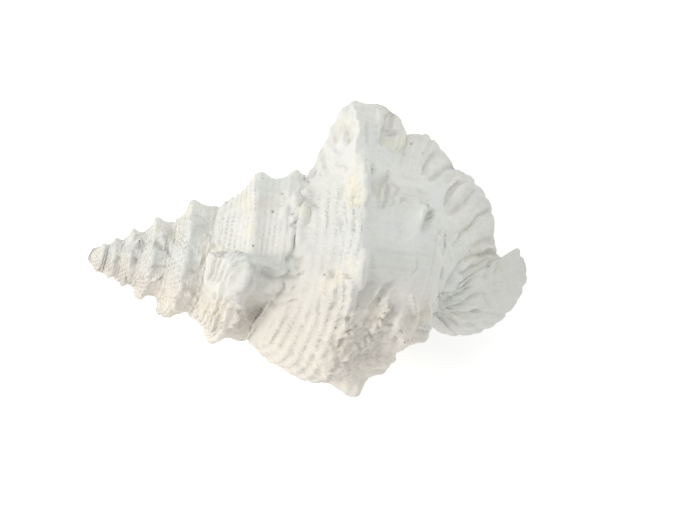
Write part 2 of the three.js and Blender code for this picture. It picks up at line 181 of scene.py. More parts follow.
# Middle of the canal in the view and its height, and radius
CANAL = np.array([
    [420, 236, -19, 6],
    [442, 240, -19, 5.5],
    [466, 246, -20, 5],
    [488, 251, -20, 4],
    [514, 254, -21, 4],
])
APEX = np.array([-90.8, -0.1, 12])
AXIS_DIP = math.radians(7)
AXIS_SLOPE = math.radians(3.2)
REST_DOWN = Vector((-0.067, -0.08, -0.995)).normalized()
REST = np.array(REST_DOWN.rotation_difference(Vector((0, 0, -1))).to_matrix())
REST_SHIFT = np.array([-0.25285, -5.64083, 42.58937])
# Middle of the picture in the view, its width, and the distance of the camera in metres
CENTRE_X = 350
CENTRE_Y = 264
PICTURE = 700
DISTANCE = 1.6
# Half width and reach of the softened seam in millimetres, and rounds of softening
SEAM_SOFT = 2.6
SEAM_REACH = 6
SEAM_ROUNDS = 16
# How far the forms wander, and half width of a pinhole, in pixels of the view
WANDER = 1.6
PINHOLE = 1.5

# Forms seen from the back, as half width and height in millimetres and a path in pixels of the view
# Stains have no height, and pinholes are single places

FORMS = [
    # Grooves of the lip
    (1.3, -2, [(437, 152), (430, 158), (425, 165), (424, 174)]),
    (0.9, -1.7, [(455, 167), (446, 169), (438, 174), (431, 181)]),
    (0.6, -0.9, [(454, 175), (445, 181)]),
    (0.9, -1.8, [(465, 181), (457, 184), (451, 190), (448, 198), (446, 206), (447, 214)]),
    (1, -1.5, [(473, 190), (469, 197), (465, 203), (459, 208), (450, 214)]),
    (0.6, -0.9, [(472, 210), (467, 214)]),
    (1.1, -2.2, [(488, 211), (479, 217), (473, 225), (463, 233), (459, 241)]),
    (0.9, -1.2, [(459, 241), (453, 248), (448, 256)]),
    (1.8, -0.8, [(450, 231), (446, 238), (443, 247), (442, 255)]),
    (0.6, -0.9, [(443, 228), (438, 234)]),
    (1.1, -1.3, [(494, 243), (484, 242), (474, 247)]),
    (0.8, -1.3, [(495, 255), (486, 254), (478, 255), (468, 258), (461, 262)]),
    (0.8, -1.8, [(461, 262), (457, 270), (452, 279), (446, 289), (440, 299), (433, 308)]),
    (0.8, -1.6, [(474, 267), (467, 271), (460, 274)]),
    (0.6, -1.4, [(477, 277), (468, 283), (459, 290), (451, 297), (442, 304)]),
    (0.7, -1.7, [(460, 284), (453, 291), (446, 299), (438, 306)]),
    (0.7, -1.7, [(472, 286), (463, 293), (455, 298), (446, 304), (437, 310)]),
    (0.7, -1.6, [(478, 293), (469, 299), (460, 304), (451, 308), (441, 312)]),
    (0.7, -1.2, [(478, 309), (468, 312), (456, 314), (444, 315)]),
    (0.9, -1, [(476, 324), (462, 325), (448, 321)]),
    (0.6, -0.8, [(489, 262), (487, 270), (485, 279)]),
    (0.6, -0.7, [(499, 261), (496, 270), (493, 288)]),
    (0.7, -0.8, [(481, 291), (485, 300), (490, 306)]),
    (2.8, -3, [(437, 314), (443, 320), (452, 324)]),
    # Ridges of the lip
    (1.5, 1, [(443, 164), (433, 171), (428, 178)]),
    (1.8, 1.1, [(462, 189), (456, 196), (451, 205)]),
    (1.8, 1, [(470, 212), (461, 221), (455, 232)]),
    (1.5, 1.2, [(473, 240), (465, 246), (458, 254)]),
    (1.2, 1.2, [(450, 249), (451, 257)]),
    (0.9, 1.8, [(493, 249), (486, 249), (478, 251)]),
    (1.2, 1, [(472, 261), (465, 266), (461, 270)]),
    (0.9, 1.3, [(462, 275), (455, 284), (447, 293), (439, 301)]),
    (0.9, 1.2, [(479, 287), (470, 293), (460, 300), (450, 305)]),
    (1.3, 1.4, [(474, 303), (466, 307), (458, 310)]),
    (1.1, 1, [(480, 318), (468, 319), (457, 321)]),
    (0.7, 1.1, [(453, 262), (448, 272), (444, 279)]),
    (0.8, 1, [(441, 268), (442, 281), (440, 294)]),
    # Top of the lip
    (0.9, 1.5, [(354, 109), (358, 121), (359, 132), (358, 143), (357, 153)]),
    (2.3, -2.6, [(344, 124), (346, 132), (347, 140)]),
    (1.2, 2.2, [(378, 112), (378, 130), (377, 141)]),
    (1, -1.5, [(367, 122), (367, 135), (369, 146)]),
    (1.8, -2.4, [(391, 113), (388, 124), (384, 134), (382, 143)]),
    (1, -1.8, [(397, 133), (389, 134)]),
    (1.6, 1.2, [(396, 138), (392, 151)]),
    (1.4, 1.3, [(403, 132), (401, 141), (399, 150)]),
    (1.6, 0.8, [(412, 150), (409, 158)]),
    (1.6, -1.3, [(337, 136), (334, 145), (336, 151)]),
    (1.2, -0.8, [(342, 148), (341, 154)]),
    (1.7, -1.2, [(323, 152), (322, 160)]),
    (1.2, -0.7, [(330, 155), (331, 160)]),
    (1.3, -1, [(327, 163), (325, 167)]),
    (1.1, -0.7, [(321, 171), (322, 175)]),
    (0.9, -1, [(314, 171), (312, 177)]),
    (1, 1, [(330, 141), (327, 148)]),
    (0.6, -0.8, [(336, 164), (344, 165), (350, 170)]),
    # Upper body
    (1.5, 2.8, [(365, 162), (366, 172), (365, 182), (366, 192), (363, 203)]),
    (1.6, -2, [(373, 168), (373, 180), (373, 191), (372, 197)]),
    (0.8, -0.7, [(379, 182), (381, 191)]),
    (0.8, 2.2, [(384, 173), (383, 184), (380, 195), (378, 206)]),
    (0.9, -2.2, [(388, 172), (387, 184), (386, 195), (382, 207)]),
    (0.6, -1.2, [(392, 181), (394, 187)]),
    (0.6, -1.2, [(397, 189), (395, 196)]),
    (0.6, -1.1, [(391, 193), (390, 199)]),
    (0.6, -1.1, [(393, 201), (391, 206)]),
    (0.6, -1.1, [(403, 197), (399, 205)]),
    (0.9, -1, [(344, 184), (341, 197)]),
    (0.9, -1.6, [(355, 183), (354, 200)]),
    (0.8, -1.2, [(341, 217), (341, 231)]),
    (0.8, -0.9, [(354, 221), (356, 231)]),
    (0.9, 0.8, [(353, 210), (353, 217)]),
    (1, 0.9, [(347, 186), (346, 200)]),
    (0.7, 0.6, [(327, 208), (325, 218), (325, 230)]),
    (0.6, -1.2, [(308, 206), (311, 212), (311, 218), (307, 224)]),
    (1.2, -1.2, [(303, 200), (312, 204), (319, 207)]),
    (1.3, 0.8, [(296, 200), (297, 210), (293, 221)]),
    (1.2, 1, [(286, 207), (284, 219)]),
    (1.1, 1.8, [(429, 202), (425, 210), (422, 218)]),
    (1.4, -2.8, [(433, 210), (429, 220), (425, 232)]),
    (0.6, -0.8, [(415, 188), (421, 195)]),
    (0.6, -0.9, [(421, 200), (423, 203)]),
    (0.6, -0.9, [(416, 260), (418, 268), (412, 276)]),
    # Suture
    (2, 1.8, [(301, 182), (299, 200), (295, 225), (292, 250)]),
    (1.8, 1.9, [(308, 192), (306, 206), (301, 224), (298, 244)]),
    (1.2, 2.5, [(302, 174), (303, 180)]),
    (0.7, -1.2, [(303, 178), (301, 184), (303, 189), (299, 194), (300, 200)]),
    (0.7, -1.6, [(299, 222), (292, 226), (297, 230), (294, 238), (292, 250)]),
    (1.2, -1.6, [(292, 256), (297, 261), (298, 269)]),
    (0.8, -1, [(303, 257), (299, 263)]),
    (0.7, -1, [(296, 277), (302, 274), (305, 271)]),
    (0.8, -0.9, [(223, 213), (221, 222), (222, 230), (220, 238), (223, 246)]),
    # Old lip
    (1.1, 2.2, [(228, 253), (239, 254), (246, 259), (250, 268), (248, 278), (243, 286), (238, 291)]),
    (1.8, -2, [(234, 269), (238, 272), (242, 272)]),
    (0.8, -2, [(229, 260), (230, 262)]),
    (0.8, -2, [(235, 262), (237, 266)]),
    (0.6, -1.6, [(240, 262), (242, 266)]),
    (0.7, -1.7, [(217, 252), (214, 262), (212, 274), (209, 280)]),
    (0.7, -1.7, [(222, 253), (219, 262), (217, 271), (214, 281)]),
    (0.7, -1.7, [(227, 259), (224, 267), (221, 275), (218, 283)]),
    (0.7, -1.6, [(231, 267), (228, 274), (224, 283)]),
    (0.7, -1.4, [(234, 277), (230, 286)]),
    (0.6, 1.5, [(257, 262), (259, 270), (257, 279), (255, 287), (252, 298)]),
    (0.8, -1.8, [(253, 265), (255, 274), (252, 284), (247, 292)]),
    (0.5, 1.2, [(263, 266), (272, 268), (282, 269)]),
    (0.6, 1.6, [(283, 271), (291, 273), (300, 275)]),
    (0.8, -1.2, [(261, 272), (267, 276), (274, 279), (282, 279), (289, 278), (297, 280)]),
    (2, 1, [(262, 287), (272, 286), (287, 286)]),
    (0.6, -0.8, [(273, 281), (274, 292)]),
    (0.6, -0.8, [(283, 282), (284, 291)]),
    (0.9, -1.1, [(262, 295), (272, 296), (280, 294), (289, 295)]),
    (0.6, -1.4, [(281, 304), (290, 302), (298, 299)]),
    (1, -1, [(270, 302), (276, 309)]),
    (0.6, -1.4, [(291, 291), (294, 286)]),
    (3, -1.2, [(250, 300), (257, 308), (255, 318)]),
    (2.4, -1.2, [(248, 326), (240, 334), (247, 340)]),
    (0.75, 2, [(222, 284), (221, 295), (216, 308), (209, 321)]),
    (0.75, 2, [(229, 288), (226, 300), (222, 311), (215, 324), (211, 331)]),
    (0.75, 2, [(235, 293), (231, 305), (227, 314), (221, 327)]),
    (0.75, 2, [(240, 295), (236, 306), (237, 316), (231, 328)]),
    (0.75, 2, [(244, 298), (241, 306), (246, 314), (243, 322), (237, 329)]),
    # Spire
    (1.3, 1.7, [(191, 223), (190, 236)]),
    (1, -1.6, [(174, 228), (174, 240)]),
    (1.3, -1.6, [(151, 240), (158, 244), (163, 249)]),
    (0.8, -1.6, [(168, 248), (169, 258)]),
    (1.6, 1.6, [(161, 233), (162, 238)]),
    (0.6, 1.2, [(166, 241), (164, 252)]),
    (1, 1.3, [(146, 238), (140, 241), (136, 245)]),
    (0.8, -1.2, [(141, 248), (147, 244)]),
    (1.4, 1.8, [(140, 274), (140, 279)]),
    (0.7, -0.9, [(150, 268), (160, 268), (168, 268)]),
    (0.7, 1.3, [(151, 280), (157, 277), (162, 275)]),
    (1, 1.2, [(134, 234), (135, 236)]),
    (0.6, 0.6, [(97, 248), (94, 258)]),
    (0.6, 0.7, [(107, 246), (105, 255), (103, 265)]),
    (0.7, 1.3, [(123, 245), (122, 257)]),
    (0.7, 1.1, [(115, 257), (112, 262)]),
    (0.9, 1.3, [(118, 277), (118, 280)]),
    (1.3, -1.2, [(126, 262), (125, 280)]),
    (0.7, -1.2, [(135, 257), (136, 264)]),
    (1.4, 1.3, [(201, 256), (201, 262)]),
    (1.2, -0.8, [(188, 271), (195, 273)]),
    (0.8, 1.4, [(201, 292), (198, 297)]),
    (0.8, 1.2, [(190, 293), (191, 296)]),
    (0.8, 1.3, [(197, 305), (195, 308)]),
    (0.7, 1, [(192, 313), (193, 315)]),
    (0.8, 1.2, [(182, 286), (181, 290)]),
    (0.7, 1.1, [(176, 301), (174, 305)]),
    (0.6, 0.9, [(203, 236), (207, 234)]),
    (0.6, 1.3, [(213, 231), (212, 240), (208, 248)]),
    (1.3, -1.4, [(212, 245), (219, 246)]),
    (1.2, 1, [(213, 291), (214, 298)]),
    # Lower body
    (1.5, 2.4, [(365, 251), (363, 262), (361, 272), (361, 287)]),
    (1.4, -1.2, [(372, 254), (373, 268), (371, 280)]),
    (1.4, -2, [(371, 284), (364, 294), (360, 304), (355, 312)]),
    (0.9, 2.6, [(380, 285), (375, 292), (371, 298), (368, 308)]),
    (1.4, -1.9, [(392, 284), (385, 289), (379, 296), (375, 304)]),
    (0.8, 1.8, [(393, 301), (388, 308), (384, 314), (380, 323)]),
    (0.7, -0.8, [(394, 306), (389, 313), (383, 325)]),
    (0.8, 1.2, [(376, 327), (372, 334)]),
    (0.9, 1.4, [(370, 337), (363, 348)]),
    (1, -1.6, [(341, 321), (352, 320)]),
    (0.8, -1.4, [(344, 334), (351, 330)]),
    (1.1, -1.3, [(336, 293), (336, 303), (331, 311)]),
    (0.8, 1.2, [(339, 284), (332, 293)]),
    (0.8, -1.2, [(322, 294), (320, 302), (318, 313)]),
    (1, -2.4, [(345, 276), (350, 279)]),
    (1, -1.7, [(332, 270), (333, 279)]),
    (0.7, -1.2, [(343, 283), (348, 289)]),
    (0.8, 1.3, [(349, 291), (353, 298), (347, 309)]),
    (1.2, -2, [(343, 340), (338, 347), (335, 355)]),
    (1.2, 2.2, [(412, 296), (414, 308), (414, 320), (409, 333)]),
    (0.8, -1, [(421, 311), (420, 322), (416, 331), (409, 341)]),
    (0.6, 1, [(385, 328), (392, 329), (401, 329)]),
    (0.6, -1.2, [(384, 325), (392, 326)]),
    (1.5, -1.3, [(395, 336), (397, 341)]),
    (1.8, 1.6, [(397, 322), (402, 332), (406, 340)]),
    (1.4, 1.9, [(427, 303), (428, 312), (428, 321)]),
    (0.6, 0.8, [(420, 326), (431, 327)]),
    (0.6, -1, [(419, 330), (428, 331)]),
    (1.2, 1.3, [(347, 366), (349, 371)]),
    (1, 1.2, [(317, 356), (321, 357)]),
    (0.8, 0.7, [(277, 313), (269, 328), (261, 340)]),
    (0.8, 0.7, [(284, 314), (277, 330), (268, 345)]),
    (0.9, 1, [(331, 369), (332, 371)]),
    (0.9, 1.2, [(334, 362), (336, 365)]),
]
STAINS = [
    (1.6, [(401, 135), (399, 144), (395, 153)]),
    (1.2, [(389, 138), (387, 148)]),
    (0.9, [(280, 193), (275, 197)]),
    (1.5, [(247, 196), (246, 210)]),
    (1.5, [(300, 206), (308, 212)]),
    (1.3, [(350, 196), (352, 212)]),
]
PINHOLES = [(411, 143), (356, 206), (359, 206), (273, 211), (297, 207), (292, 215), (282, 193), (356, 327)]


def bell(x):
    return np.exp(-np.square(x))


def smooth(a, b, x):
    t = np.clip((np.asarray(x, float) - a) / (b - a), 0, 1)
    return t * t * (3 - 2 * t)


def mix(a, b, t):
    return a + (b - a) * t


def curve(table, x):
    """Cubic curve through the rows of a table, whose first column is the parameter."""
    xs = table[:, 0]
    last = len(table) - 1
    q = np.clip(x, xs[0], xs[-1])
    k = np.clip(np.searchsorted(xs, q, side="left") - 1, 0, last - 1)
    step = xs[k + 1] - xs[k]
    t = ((q - xs[k]) / step)[..., None]
    at = np.arange(last + 1)
    after = np.minimum(at + 1, last)
    before = np.maximum(at - 1, 0)
    slope = (table[after] - table[before]) / (xs[after] - xs[before])[:, None]
    start = slope[k] * step[..., None]
    stop = slope[k + 1] * step[..., None]
    t2 = t * t
    t3 = t2 * t
    low = (2 * t3 - 3 * t2 + 1) * table[k] + (t3 - 2 * t2 + t) * start
    return low + (3 * t2 - 2 * t3) * table[k + 1] + (t3 - t2) * stop


LOG_SHOULDER = np.column_stack([SHOULDER[:, 0], np.log(SHOULDER[:, 1:])])


def shoulder(turns):
    return np.exp(curve(LOG_SHOULDER, turns)[..., 1:])


def lower_suture(turns):
    top = shoulder(turns)
    old = top * np.array([SUTURE_S, SUTURE_R])
    return np.where((turns < 1)[..., None], curve(LAST_WHORL, turns)[..., 3:5], old)


def sharp_section(turns, c):
    """(s, r) of the whorl before relief, arrays in and out."""
    top = shoulder(turns)
    low = lower_suture(turns)
    up = np.where((turns > TURNS - 1)[..., None], 0.0, lower_suture(turns + 1))
    row = curve(LAST_WHORL, turns)
    keel = np.where((turns < 1)[..., None], row[..., 1:3], top * np.array([KEEL_S, 1]))
    base = row[..., 5:7]
    neck = row[..., 7:9]
    end = np.zeros_like(neck)
    end[..., 0] = AXIS_END
    cc = c[..., None]
    swell = 0.13 * bell((turns - 0.58) / 0.16) * (0.2 + 1.6 * c)
    depth = (np.sin(np.pi * np.clip(c, 0, 1)) * top[..., 1] * (0.028 - swell))[..., None]
    ramp = mix(up, top, cc) + depth * np.array([0.7, -0.7])
    t = np.clip((cc - 1) / 0.75, 0, 1)
    side = mix(top, keel, t) - np.sin(np.pi * t) * top[..., 1:] * 0.05 * np.array([0, 1])
    rest = np.where(cc <= 2, mix(keel, low, (cc - 1.75) / 0.25), mix(low, base, (cc - 2) * 2))
    rest = np.where(cc > 2.5, mix(base, neck, (cc - 2.5) * 2), rest)
    rest = np.where(cc > 3, mix(neck, end, cc - 3), rest)
    return np.where(cc <= 1, ramp, np.where(cc <= 1.75, side, rest))


def section(turns, c):
    """The same section with its edges rounded a little."""
    reach = np.minimum(0.1, np.minimum(c, np.abs(c - 2)))
    reach = np.where(c > 2, np.minimum(0.2, np.minimum(c - 2, 4 - c)), reach)
    total = 0
    for k, w in ((-1, 1), (-0.5, 2), (0, 2), (0.5, 2), (1, 1)):
        total = total + w * sharp_section(turns, np.clip(c + k * reach, 0, 4))
    return total / 8


def normal(turns, c):
    a = section(turns, np.maximum(0.001, c - 0.04))
    b = section(turns, np.minimum(4, c + 0.04))
    d = b - a
    d /= np.linalg.norm(d, axis=-1, keepdims=True) + 1e-9
    return np.stack([-d[..., 1], d[..., 0]], -1)


def old_lip(turns, c):
    """The old lip on the whorl before the last, which also covers the suture beside it."""
    t = turns - OLD_LIP - 0.02 * c
    edge = smooth(-0.006, 0.004, t)
    flap = smooth(0.06, 0.2, c) * (1 - smooth(0.9, 1.3, c))
    height = flap * edge * (5.5 * (1 - smooth(0.055, 0.095, t)) + 2.5 * (1 - smooth(0.16, 0.24, t)))
    plate = smooth(1.05, 1.15, c) * (1 - smooth(1.9, 1.99, c))
    height += plate * 1.4 * bell(t / 0.007)
    return height + plate * 1.2 * smooth(0.016, 0.03, t) * (1 - smooth(0.05, 0.075, t))


def on_flap(turns, c):
    t = turns - OLD_LIP - 0.02 * c
    return smooth(-0.02, 0, t) * (1 - smooth(0.1, 0.14, t)) * smooth(0, 0.06, c) * (1 - smooth(1.9, 2, c))


def relief(turns, c):
    radius = shoulder(turns)[..., 1]
    height = np.zeros_like(turns)
    for turn, across, knob, long, left, right in KNOBS:
        wide = np.where(c < across, left, right)
        height += knob * bell((turns - turn) * 360 / long * 0.95) * bell((c - across) / wide * 0.95)
    crest = np.maximum(0, np.cos(np.pi * (turns - 0.06) * SPIRE_KNOBS)) ** 2
    grown = smooth(0.93, 1.06, turns) * (1 - 0.35 * bell((turns - 1.05) / 0.6))
    height += radius * SPIRE_KNOB * crest * bell((c - 1) / 0.25) * grown
    height += old_lip(turns, c) + old_lip(turns - 1, c - 2) * (c > 1.5)
    u = turns - HIDDEN_LIP
    hidden = np.where(u < 0, smooth(-0.022, 0, u), 1 - smooth(0.04, 0.12, u))
    return height + 3 * hidden * smooth(0.04, 0.3, c) * (1 - smooth(1.85, 2, c))


def tilt(a, b, angle):
    return a * math.cos(angle) + b * math.sin(angle), b * math.cos(angle) - a * math.sin(angle)


def place(s, r, turns):
    """From the coil frame to the view of the back."""
    phi = np.radians(LIP_ANGLE - 360 * turns)
    x, z = tilt(s, r * np.cos(phi), AXIS_DIP)
    x, y = tilt(x, r * np.sin(phi), AXIS_SLOPE)
    return np.stack([x, y, z], -1) + APEX


def on_shell(turns, c):
    p = section(turns, c)
    n = normal(turns, c)
    h = relief(turns, c)[..., None]
    p = p + n * h
    return place(p[..., 0], np.maximum(0, p[..., 1]), turns)


def skin_point(turns, c):
    """A point of the shell with no relief on it."""
    p = section(turns, c)
    return place(p[..., 0], p[..., 1], turns)


def in_view(x, y, z):
    return np.stack([(x - VIEW_X) * VIEW_UNIT, (VIEW_Y - y) * VIEW_UNIT, z], -1)


# Noise, the same on every run

LATTICE = np.random.default_rng(11).random(65536)


def cell_value(i, seed):
    h = (i[..., 0] * 73856093) ^ (i[..., 1] * 19349663) ^ (i[..., 2] * 83492791) ^ (seed * 2654435)
    return LATTICE[(h ^ (h >> 13)) & 0xFFFF]


def noise(p, size, seed=1):
    q = p / size
    i = np.floor(q).astype(np.int64)
    f = q - i
    f = f * f * (3 - 2 * f)
    total = 0
    for corner in product((0, 1), repeat=3):
        x, y, z = (f[..., k] if corner[k] else 1 - f[..., k] for k in range(3))
        total = total + x * y * z * cell_value(i + np.array(corner), seed)
    return total * 2 - 1


def lumps(p, size, seed=1):
    """Rounded grains scattered one to a cell, 0 between them and 1 on top."""
    q = p / size
    i = np.floor(q).astype(np.int64)
    best = np.zeros(p.shape[:-1])
    for cell in product((-1, 0, 1), repeat=3):
        j = i + np.array(cell)
        at = j + 0.2 + 0.6 * np.stack([cell_value(j, seed + k) for k in (0, 1, 2)], -1)
        wide = 0.35 + 0.35 * cell_value(j, seed + 3)
        d = np.linalg.norm(q - at, axis=-1) / wide
        best = np.maximum(best, np.clip(1 - d * d, 0, 1) * (0.5 + wide))
    return best


# The coil as one skin, with a value of each mark at each point

MARKS = ("cord", "along", "corded", "rough", "relief", "grown", "skin", "warm_light_and_tint")
PLAIN = [0.0] * len(MARKS)


class Skin:
    """Points with their marks, and triangles between them."""

    def __init__(self):
        self.points = []
        self.marks = []
        self.faces = []
        self.count = 0

    def add(self, points, marks):
        points = np.atleast_2d(points)
        ids = np.arange(self.count, self.count + len(points))
        self.points.append(points)
        self.marks.append(np.broadcast_to(np.atleast_2d(marks), (len(points), len(MARKS))))
        self.count += len(points)
        return ids

    def strip(self, one, other):
        """Faces between lines of equal count, or between the rows of two grids."""
        a, b, c, d = one[..., :-1], one[..., 1:], other[..., 1:], other[..., :-1]
        for tri in ((a, b, c), (a, c, d)):
            self.keep(np.stack(tri, -1).reshape(-1, 3))

    def keep(self, t):
        """Keeps the triangles whose three corners differ."""
        self.faces.append(t[(t[:, 0] != t[:, 1]) & (t[:, 1] != t[:, 2]) & (t[:, 0] != t[:, 2])])

    def join(self, one, other):
        """Faces between two lines of any counts, always along the shorter diagonal."""
        pts = np.vstack(self.points)
        i = j = 0
        found = []
        while i < len(one) - 1 or j < len(other) - 1:
            first = np.linalg.norm(pts[one[i + 1]] - pts[other[j]]) if i < len(one) - 1 else math.inf
            second = np.linalg.norm(pts[one[i]] - pts[other[j + 1]]) if j < len(other) - 1 else math.inf
            if first <= second:
                found.append((one[i], one[i + 1], other[j]))
                i += 1
            else:
                found.append((one[i], other[j + 1], other[j]))
                j += 1
        self.keep(np.array(found))


# Length along the shoulder, for beads and growth lines
TRACK_TURNS = np.linspace(-0.2, 8, 821)
TRACK = np.cumsum(2 * np.pi * shoulder(TRACK_TURNS)[:, 1]) * (TRACK_TURNS[1] - TRACK_TURNS[0])


def fine_relief(turns, c, p):
    """Cords, growth ridges, grains and worn places in millimetres, and the marks for the paint."""
    r = shoulder(turns)[..., 1]
    size = np.clip(r / 45, 0.25, 1)
    inner = smooth(0.02, 0.1, c) * np.where(c < 2, 1 - smooth(1.93, 1.995, c), smooth(2.0, 2.05, c))
    flap = np.maximum(on_flap(turns, c), on_flap(turns - 1, c - 2))

    # Cords, which are worn or missing in places
    phase = CORDS * (c + 0.02 * noise(p, 14.0, 31) + 0.008 * noise(p, 5.0, 33))
    cords = 0.5 + 0.5 * np.cos(2 * np.pi * phase)
    body = smooth(1.02, 0.9, c) + 0.45 * smooth(1.05, 1.2, c)
    calm = smooth(0.36, 0.3, turns) * smooth(1.02, 1.12, c)
    worn = 0.3 + 0.7 * smooth(-0.3, 0.4, noise(p, 16.0, 41) + 2.4 * (turns - 0.22))
    corded = body * worn * (1 - 0.9 * calm) * (1 - flap)
    strong = 0.35 + 0.4 * smooth(0.28, 0.4, turns) - 0.22 * smooth(0.3, 0.24, turns)
    h = strong * size * cords * corded * (0.3 + 0.7 * smooth(-0.35, 0.35, noise(p, 6.5, 61)))
    h += 0.9 * size * noise(p, 11.0, 3) + 0.5 * size * noise(p, 4.5, 5) * (1 - 0.6 * calm)

    # Crumbs on the lower body and on the lower side of the spire
    rough = 1.25 * bell((turns - 0.45) / 0.1) * (0.3 * smooth(0.35, 0.6, c) + 0.7 * smooth(0.78, 1, c))
    rough = rough * (1 - 0.7 * smooth(1.45, 1.75, c)) * (1 - smooth(2.1, 2.6, c))
    below = 0.5 - 0.5 * np.cos(2 * np.pi * turns)
    rough = rough + (0.25 + 0.4 * below) * smooth(1.5, 2.2, turns) + 0.55 * bell((turns - 1.46) / 0.09)
    rough = np.minimum(1.1, rough) * (1 - 0.85 * flap)
    h += rough * size * (1.2 * lumps(p, 5.0, 7) + 1.6 * lumps(p, 2.9, 17) - 1.1)

    # Growth lines, and the sutures of the spire
    growth = noise(np.stack([turns * 240, c * 1.3, turns * 0], -1), 1.0, 9)
    h += 0.3 * size * growth
    deeper = smooth(1.2, 1.5, turns)
    h += 1.4 * size * deeper * bell((c - 0.09) / 0.05) * (0.6 + 0.6 * noise(p, 7.0, 51))
    h -= 1.3 * size * deeper * bell((c - 1.95) / 0.04)
    h -= 0.07 * r * bell((c - 1.72) / 0.2) * smooth(1.7, 2.3, turns)

    along = np.interp(turns, TRACK_TURNS, TRACK)
    turn = np.mod(turns, 1)
    # Warmer colour on the front and lower side of each whorl, partly the shell's own cream and partly
    # painted warm light from the lower left
    warm_light_and_tint = smooth(0.26, 0.44, turn) * (1 - smooth(0.62, 0.8, turn)) * (1 - smooth(2.2, 2.8, c))
    skin = np.ones_like(inner)
    # The relief mark also sets how dark the painted shade in the hollows is
    marks = [phase, along, corded * inner, rough * inner, h * inner, inner, skin, warm_light_and_tint]
    return h * inner, np.stack(marks, -1)


def surface(turns, c):
    """Points of the shell with their fine relief, and their marks."""
    e = 1e-3
    p = on_shell(turns, c)
    n = np.cross(on_shell(turns + e, c) - p, on_shell(turns, np.clip(c + e * 4, 0, 4)) - p)
    axis = place(section(turns, c)[..., 0], np.zeros_like(c), turns)
    n *= np.sign(np.sum(n * (p - axis), -1, keepdims=True))
    n /= np.linalg.norm(n, axis=-1, keepdims=True) + 1e-12
    h, marks = fine_relief(turns, c, p)
    return p + n * h[..., None], marks


def lay(skin, turns, across):
    """Adds a grid of points of the shell to the skin and returns their numbers."""
    t, c = np.meshgrid(turns, across, indexing="ij")
    p, marks = surface(t, c)
    return skin.add(p.reshape(-1, 3), marks.reshape(-1, len(MARKS))).reshape(t.shape)


def coil():
    """All whorls from the apex to the lip, row by row, then the base of the last one."""
    skin = Skin()
    rows = TURNS * STEPS + PAST_LIP
    even = TURNS - np.arange(rows + 1) / STEPS
    wave = np.sin(2 * np.pi * (even - FRONT)) + math.sin(2 * math.pi * FRONT)
    turns = even - CLOSER / (2 * np.pi) * wave
    apex = skin.add(place(0.2, 0, 0), PLAIN)[0]
    end = skin.add(place(AXIS_END, 0, 0), PLAIN)[0]
    band = np.maximum(0, np.floor(even - 1e-9).astype(int))
    band[0] = len(COLUMNS)
    lower = np.full(rows + 1, apex)
    lines = [None] * (rows + 1)
    for k in range(len(COLUMNS), -1, -1):
        at = np.flatnonzero(band == k)
        columns = 1 if k == len(COLUMNS) else COLUMNS[k]
        ids = lay(skin, turns[at], 2 * np.arange(1, columns + 1) / columns)
        lower[at] = ids[:, -1]
        for i, line in zip(at, ids):
            lines[i] = np.append(apex if i < STEPS else lower[i - STEPS], line)
        grid = np.array([lines[i] for i in at])
        skin.strip(grid[:-1], grid[1:])
    for i in np.flatnonzero(np.diff(band)):
        skin.join(lines[i], lines[i + 1])
    at = np.arange(rows - STEPS, rows + 1)
    ids = lay(skin, turns[at], 2 + 2 * np.arange(1, BASE_COLUMNS) / BASE_COLUMNS)
    bases = np.column_stack([lower[at], ids, np.full(len(at), end)])
    skin.strip(bases[:-1], bases[1:])
    skin.join(np.concatenate([lines[rows], bases[STEPS][1:]]), bases[0])
    return skin


def tube(rings, marks):
    """A closed body through rings of equal count, its two ends closed by fans."""
    skin = Skin()
    ids = [skin.add(ring, mark) for ring, mark in zip(rings, marks)]
    for a, b in zip(ids, ids[1:]):
        skin.strip(np.append(a, a[0]), np.append(b, b[0]))
    for ring, line, mark in ((rings[0], ids[0], marks[0]), (rings[-1], ids[-1][::-1], marks[-1])):
        centre = skin.add(ring.mean(0), np.atleast_2d(mark)[:1])[0]
        loop = np.append(line, line[0])
        skin.faces.append(np.stack([np.full(len(line), centre), loop[1:], loop[:-1]], -1))
    return skin


def fold_places(first, last, count):
    k = np.arange(2 * count + 1)
    at = mix(first, last, k / (2 * count)) + 0.06 * np.sin(k * 2.3) + np.where(k % 2, 0.04, 0)
    return at, np.where(k % 2, 1, -1) * (1 + 0.35 * np.sin(k * 1.7))


def lip_folds(at):
    """Height of the folds along the rim, above 0 on a crest and below it in a furrow."""
    x1, f1 = fold_places(*LIP_FOLDS[:3])
    x2, f2 = fold_places(*FAN_FOLDS[:3])
    xs = np.concatenate([[0, 6.0], x1, [FAN_START], x2, [24]])
    fs = np.concatenate([[0, 0], f1 * LIP_FOLDS[3], [0], f2 * FAN_FOLDS[3], [0]])
    fold = np.interp(at, xs, fs)
    deep = np.where(at < FAN_START, LIP_FOLDS[3], FAN_FOLDS[3])
    round_crest = deep * (1.3 - 2.3 * np.clip(0.5 - fold / deep / 2.4, 0, 1) ** 2)
    return round_crest * np.interp(at, [5.9, 6.6, 15.3, FAN_START, 16.1, 22.8, 23.6], [0, 1, 1, 0, 1, 1, 0])


def lip_lean(turns, c, out):
    """Slope of the coil's skin in the direction out, where a ray of the lip starts."""
    e = 1e-3
    base = skin_point(turns, c)
    back = (skin_point(turns - e, c) - base) / e
    aside = (skin_point(turns, c + e) - base) / e
    turn = back[:, 0] * aside[:, 1] - back[:, 1] * aside[:, 0]
    one = (out[:, 0] * aside[:, 1] - out[:, 1] * aside[:, 0]) / turn
    two = (back[:, 0] * out[:, 1] - back[:, 1] * out[:, 0]) / turn
    return np.clip(one * back[:, 2] + two * aside[:, 2], -1.5, 0.2)


